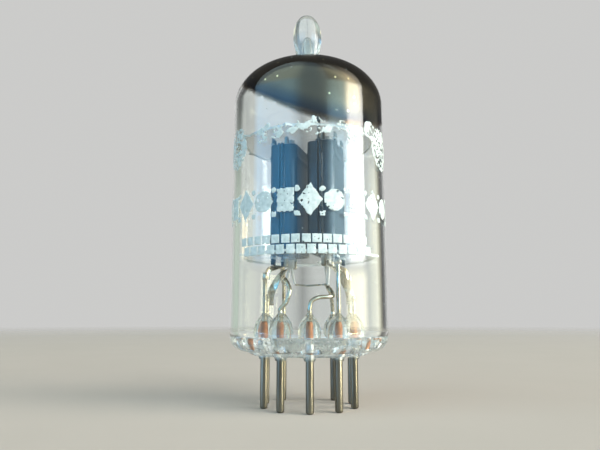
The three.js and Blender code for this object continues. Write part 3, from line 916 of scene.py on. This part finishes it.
def cathode_part():
    """A bare sleeve, coated where it stands inside the anode."""
    inner = CATHODE_RADIUS - 0.12
    coat = CATHODE_RADIUS
    bare = CATHODE_RADIUS - 0.05
    start = (bare, ROD_LOW)
    outline = [start, (bare, ANODE_LOW + 0.4), (coat, ANODE_LOW + 0.5), (coat, ANODE_HIGH - 0.5),
               (bare, ANODE_HIGH - 0.4), (bare, ROD_HIGH), (inner, ROD_HIGH), (inner, ROD_LOW), start]
    return lathe(outline, 40)


HEATER_SPREAD = 0.22              # from the cathode's axis to each leg
HEATER_FOOT = low("heater_1").z + 0.05


def heater_part(side):
    """A coated hairpin: the outer leg comes forward to its lead, the inner one back to the link."""
    top, mouth = ROD_HIGH - 0.6, ROD_LOW - 0.5
    middle = (top + mouth) / 2
    outer = side * HEATER_SPREAD
    inner = -outer
    climb = (ROD_LOW + 0.6, middle, top - 0.6, top - 0.1)
    path = [(1.6 * outer, -1.0, HEATER_FOOT), (1.2 * outer, -0.6, mouth - 1.0), (outer, -0.1, mouth)]
    path += [(outer, 0, z) for z in climb] + [(0, 0, top + 0.2)]
    path += [(inner, 0, z) for z in reversed(climb)]
    path += [(inner, 0.1, mouth), (inner, 0.6, mouth - 0.8), (1.4 * inner, 0.9, mouth - 1.5)]
    return sweep(smooth_path(path), 0.17, 14)


def link_part():
    """The fine wire that joins the two heaters' rear legs."""
    reach, v, z = TRIODE_OFFSET - HEATER_SPREAD, 1.4, HEATER_FOOT + 0.2
    return sweep(smooth_path([from_cage(-reach, v, z), from_cage(-reach / 3, v + 0.1, z - 0.15),
                              from_cage(reach / 3, v + 0.1, z - 0.1), from_cage(reach, v, z)]), 0.12, 14)


for number, side in TRIODES:
    place = from_cage(side * TRIODE_OFFSET, 0, 0)
    for end, label in ((-1, "front"), (1, "rear")):
        spot = from_cage(side * TRIODE_OFFSET, end * GRID_ROD_V, 0)
        build(f"grid_{number}_{label}_wire_rod", placed(grid_rod(), spot), GRID_METAL,
              [f"grid_{number}_{label}_rod"])
    build(f"grid_{number}_fine_winding", placed(winding(), place, CAGE_ANGLE), GRID_METAL,
          [f"grid_{number}_winding"])
    build(f"cathode_{number}_sleeve", placed(cathode_part(), place), OXIDE,
          [f"cathode_{number}"])
    build(f"heater_{number}_coil", placed(heater_part(side), place, CAGE_ANGLE), ALUMINA,
          [f"heater_{number}"])
build("heater_link_wire", link_part(), LEAD_METAL, ["heater_link"])


# ---- getter

def getter_channel():
    """A ring pressed to a U section, open upwards, that held the getter metal."""
    radius, z, half, sheet = 3.6, centre("getter_ring").z, 0.45, 0.12
    side = [(half - 0.15, -half), (half, 0.15 - half), (half, half), (half - sheet, half),
            (half - sheet, 0.2 - half), (half - 0.22, sheet - half)]
    section = side + [(-across, up) for across, up in reversed(side)]
    return lathe([(radius + across, z + up) for across, up in section + section[:1]], 72)


def getter_post():
    ring_z = centre("getter_ring").z
    foot_z = low("getter_post").z + 0.1
    path = [from_cage(0, POST_V - bend, z) for bend, z in (
        (0, foot_z), (0, 29), (0, ring_z - 2.1), (0.1, ring_z), (0.9, ring_z + 0.6))]
    return sweep(smooth_path(path), 0.28)


build("getter_channel", getter_channel(), GETTER_METAL, ["getter_ring"])
build("getter_wire", getter_post(), GETTER_METAL, ["getter_post"])


# ---- printed marks: plain geometric shapes, worn

INK_LIFT = 0.012                  # how far the ink stands off the glass
INK_SEED = 7
INK_CELL = 0.085                  # side of one small cell of ink
INK_LOW, INK_HIGH = 11.5, 29.2
INK_REACH = 17                    # how far the print goes round the glass on each side
INK_NUDGE = 0.35                  # how far a cell's corners stray, as a share of its side
WEAR_NOISES = ((0.55, 4.0), (2.6, 2.0), (4.6, 5.0))       # scale and depth of each size of noise


def disc(x, z, radius):
    return lambda s, h: (s - x) ** 2 + (h - z) ** 2 < radius ** 2


def block(x, z, half_x, half_z):
    return lambda s, h: abs(s - x) < half_x and abs(h - z) < half_z


def shifted(inside, x, z):
    return lambda s, h: inside(s - x, h - z)


def diamond(half_x, half_z):
    return lambda s, h: abs(s) / half_x + abs(h) / half_z < 1


def worn(coarse, fine, pits, limit, ragged):
    """A test that spares the ink where the weighted sum of three sizes of noise passes the limit,
    with how ragged the outline is."""
    return lambda sizes: coarse * sizes[0] + fine * sizes[1] + pits * sizes[2] > limit, ragged


def ink_shapes():
    """Three bands of plain shapes, each with its wear and how ragged its outline is. s runs round the
    glass from the front, h is the height."""
    pitted = worn(0.2, 0.4, 0.4, 0.335, 0.0)
    chipped = worn(0.35, 0.4, 0.25, 0.375, 0.14)
    patchy = worn(0.3, 0.4, 0.3, 0.46, 0.28)
    nearly_gone = worn(0.48, 0.32, 0.2, 0.49, 0.28)
    motifs = (diamond(1.5, 2.0), disc(0, 0, 1.3), block(0, 0, 1.02, 1.4))
    motif_pitch, motif_z = 2.95, 18.35
    brick_pitch, brick_start, brick_rows = 1.24, 0.8, ((0, 13.78), (0.62, 12.52))
    shapes = []
    for k in range(-5, 6):
        between = motif_pitch * k + 1.48
        shapes.append((shifted(motifs[k % 3], motif_pitch * k, motif_z), *chipped))
        shapes.append((block(between, motif_z - 1.65, 0.32, 0.3), *chipped))
        shapes.append((disc(between, motif_z + 1.3, 0.34), *chipped))
    for k in range(-8, 6):
        for shift, z in brick_rows:
            shapes.append((block(brick_pitch * k + shift + brick_start, z, 0.52, 0.53), *pitted))
    for s_middle in (-11.6, 11.6):
        shapes.append((disc(s_middle, 26.2, 2.7), *patchy))
    for k in range(-5, 8):
        s_middle = 1.25 * k + 0.4 * math.sin(5 * k)
        blotch = disc(s_middle, 27.3 + 0.9 * math.sin(3 * k), 0.8 + 0.35 * math.sin(2 * k))
        shapes.append((blotch, *nearly_gone))
    return shapes


def ink_cells():
    """The small cells of the glass's surface where a shape is printed and wear has spared it."""
    shapes = ink_shapes()
    cells = set()
    side_cells = round(INK_REACH / INK_CELL)
    for row in range(round(INK_LOW / INK_CELL), round(INK_HIGH / INK_CELL)):
        for column in range(-side_cells, side_cells):
            s, h = (column + 0.5) * INK_CELL, (row + 0.5) * INK_CELL
            sizes = [noise.noise(Vector((s * scale, h * scale, depth))) * 0.5 + 0.5
                     for scale, depth in WEAR_NOISES]
            drift = noise.noise_vector(Vector((s * 2.1, h * 2.1, 9.0)))
            if any(inside(s + drift.x * ragged, h + drift.y * ragged) and spared(sizes)
                   for inside, spared, ragged in shapes):
                cells.add((column, row))
    return cells


def join_corners(cells):
    """Adds a cell beside any two that meet only at a corner, so that the ink's skin stays simple."""
    added = cells
    while added:
        added = {(column, row + 1) for column, row in cells for side in (-1, 1)
                 if (column + side, row + 1) in cells
                 and not {(column + side, row), (column, row + 1)} & cells}
        cells = cells | added
    return cells


def ink_part():
    """The printed cells wrapped round the glass."""
    radius = BULB_RADIUS + INK_LIFT
    corners, points, faces = {}, [], []

    def corner(column, row):
        if (column, row) not in corners:
            nudge = INK_NUDGE * INK_CELL * noise.noise_vector(Vector((column * 0.9, row * 0.9, 3.0)))
            angle = (column * INK_CELL + nudge.x) / radius
            corners[column, row] = len(points)
            points.append(Vector((radius * math.sin(angle), -radius * math.cos(angle),
                                  row * INK_CELL + nudge.y)))
        return corners[column, row]

    for column, row in sorted(join_corners(ink_cells())):
        faces.append((corner(column, row), corner(column + 1, row),
                      corner(column + 1, row + 1), corner(column, row + 1)))
    return points, faces


def make_ink():
    noise.seed_set(INK_SEED)      # without a seed, noise_vector takes its offsets from the clock
    piece = build("printed_marks", ink_part(), INK)
    depth = piece.modifiers.new("depth", "SOLIDIFY")
    depth.thickness = INK_LIFT * 0.7 * MM
    depth.offset = 0
    apply_modifiers(piece)


make_ink()


# ---- floor, light and camera

BACKDROP = (0.60, 0.60, 0.59)
FLOOR_RADIUS = 900
FLOOR_FADE = (0.10, 0.85)         # distances, in metres, over which the floor clears into the backdrop
VECTOR_MATHS = "ShaderNodeVectorMath"


def make_floor():
    material, tree = new_material("floor")
    distance = node(tree, VECTOR_MATHS, {"operation": "LENGTH"}, Vector=place_on_object(tree))
    fade = eased(tree, distance.outputs["Value"], *FLOOR_FADE)
    colour = ramp(tree, object_noise(tree, 60, 3.0), [
        (0.3, (0.44, 0.395, 0.345)), (0.7, (0.45, 0.403, 0.353))])
    surface = principled(tree, Base_Color=colour, Roughness=0.9, Specular_IOR_Level=0.0)
    clear = node(tree, "ShaderNodeBsdfTransparent")
    output(tree, mixed(tree, fade, surface, clear))
    outline = arc(0, 0, FLOOR_RADIUS, 0, 360, 96)[:-1]
    mesh = new_mesh("floor", ([Vector((x, y, FLOOR_Z)) for x, y in outline], [range(len(outline))]))
    mesh.materials.append(material)
    floor = new_object("floor", mesh)


def band(tree, value, start, end, soft_start, soft_end):
    """1 between start and end, falling to 0 over the soft width on each side."""
    rise = eased(tree, value, start - soft_start, start + soft_start)
    fall = eased(tree, value, end - soft_end, end + soft_end, 1.0, 0.0)
    return times(tree, rise, fall)


AMBIENT = (0.12, 0.12, 0.12)
# Each bank of light: bearings in degrees and their soft edges, heights and theirs, and its colour
BANKS = (
    ((-88, -18), (2.5, 14), (0.11, 0.42), (0.02, 0.15), (0.3, 1.4, 2.7)),
    ((-88, -18), (2.5, 14), (0.42, 0.99), (0.15, 0.02), (0.95, 1.25, 1.3)),
    ((-18, 30), (14, 8), (0.11, 0.99), (0.02, 0.02), (0.42, 0.62, 0.76)),
    ((30, 60), (8, 4), (0.11, 0.42), (0.02, 0.12), (2.2, 3.6, 4.4)),
    ((46, 62), (36, 6), (0.42, 0.95), (0.12, 0.05), (2.0, 2.15, 1.9)),
    ((60, 88), (4, 2.5), (0.11, 0.42), (0.02, 0.12), (14.0, 14.0, 13.4)),
    ((62, 88), (6, 4), (0.42, 0.8), (0.12, 0.2), (3.0, 2.7, 2.1)),
    ((56, 90), (4, 4), (-0.05, 0.09), (0.02, 0.02), (7.0, 6.4, 4.4)),
    ((98, 128), (6, 6), (-0.1, 0.3), (0.02, 0.15), (1.7, 1.65, 1.2)),
    ((-150, -95), (6, 6), (-0.1, 0.3), (0.02, 0.15), (0.42, 0.5, 0.42)),
    ((-113, -107), (2.5, 2.5), (0.12, 0.23), (0.02, 0.02), (6.0, 4.6, 2.4)),
    ((152, 180), (2.5, 2.5), (-1.0, 0.58), (0.02, 0.08), BACKDROP),
    ((-180, -152), (2.5, 2.5), (-1.0, 0.58), (0.02, 0.08), BACKDROP),
)


def make_world():
    """Soft studio light: banks of light all round, set out by bearing from the front. The camera
    itself sees a plain backdrop."""
    world = bpy.data.worlds.new("studio")
    bpy.context.scene.world = world
    world.use_nodes = True
    tree = world.node_tree
    tree.nodes.clear()
    direction = split(tree, node(tree, "ShaderNodeTexCoord").outputs["Generated"])
    front = times(tree, direction["Y"], -1)
    bearing = maths(tree, "ARCTAN2", direction["X"], front)
    total = AMBIENT
    for bearings, soft_bearings, heights, soft_heights, colour in BANKS:
        wide = band(tree, bearing, *(math.radians(value) for value in bearings + soft_bearings))
        tall = band(tree, direction["Z"], *heights, *soft_heights)
        lit = node(tree, VECTOR_MATHS, {"operation": "SCALE"}, Vector=colour,
                   Scale=times(tree, wide, tall))
        total = maths(tree, "ADD", total, lit.outputs[0], VECTOR_MATHS)
    studio = node(tree, "ShaderNodeBackground", Color=total)
    plain = node(tree, "ShaderNodeBackground", Color=(*BACKDROP, 1))
    seen = node(tree, "ShaderNodeLightPath").outputs["Is Camera Ray"]
    node(tree, "ShaderNodeOutputWorld", Surface=mixed(tree, seen, studio, plain).outputs[0])


def make_softbox(name, place, aim_z, size, power, colour):
    """An area light turned towards the tube's axis at aim_z."""
    light = bpy.data.lights.new(name, "AREA")
    light.shape = "RECTANGLE"
    light.size = size[0] * MM
    light.size_y = size[1] * MM
    light.energy = power
    light.color = colour
    lamp = new_object(name, light)
    lamp.location = Vector(place) * MM
    aim = Vector((0, 0, aim_z)) * MM - lamp.location
    lamp.rotation_euler = aim.to_track_quat("-Z", "Y").to_euler()
    lamp.visible_camera = False
    lamp.visible_transmission = False
    return lamp


STRIP_Z = -2.5                    # level with the pins
STRIP_SIZE = (24, 6)
STRIP_SPREAD_DEG = 28             # reaches the pins and not the glass above them


def make_lamps():
    """A soft key light from the right, and a strip on each side that only glints in the pins."""
    key = make_softbox("key_softbox", (650, -475, 825), 18, (850, 850), 10, (1.0, 0.97, 0.92))
    key.visible_glossy = False
    for name, x, y, power, colour in (("warm_strip", 62, -36, 0.0009, (1.0, 0.9, 0.62)),
                                      ("cool_strip", -66, -28, 0.00027, (0.35, 0.62, 1.0))):
        strip = make_softbox(name, (x, y, STRIP_Z), STRIP_Z, STRIP_SIZE, power, colour)
        strip.data.spread = math.radians(STRIP_SPREAD_DEG)
        strip.visible_diffuse = False


def make_camera():
    """The photograph's viewpoint: in front, level with the base, looking a little up the tube."""
    aim_x, aim_z = -1.15, 17.13
    distance, upward_deg = 70.5, 10.25
    upward = math.radians(upward_deg)
    camera = new_object("camera", bpy.data.cameras.new("camera"))
    camera.data.lens = 31.2
    camera.data.sensor_width = 36
    camera.data.clip_start = 0.001
    back, down = distance * math.cos(upward), distance * math.sin(upward)
    camera.location = Vector((aim_x, -back, aim_z - down)) * MM
    camera.rotation_euler = (math.pi / 2 + upward, 0, 0)
    bpy.context.scene.camera = camera


make_floor()
make_world()
make_lamps()
make_camera()
bpy.context.scene.view_settings.view_transform = "Standard"
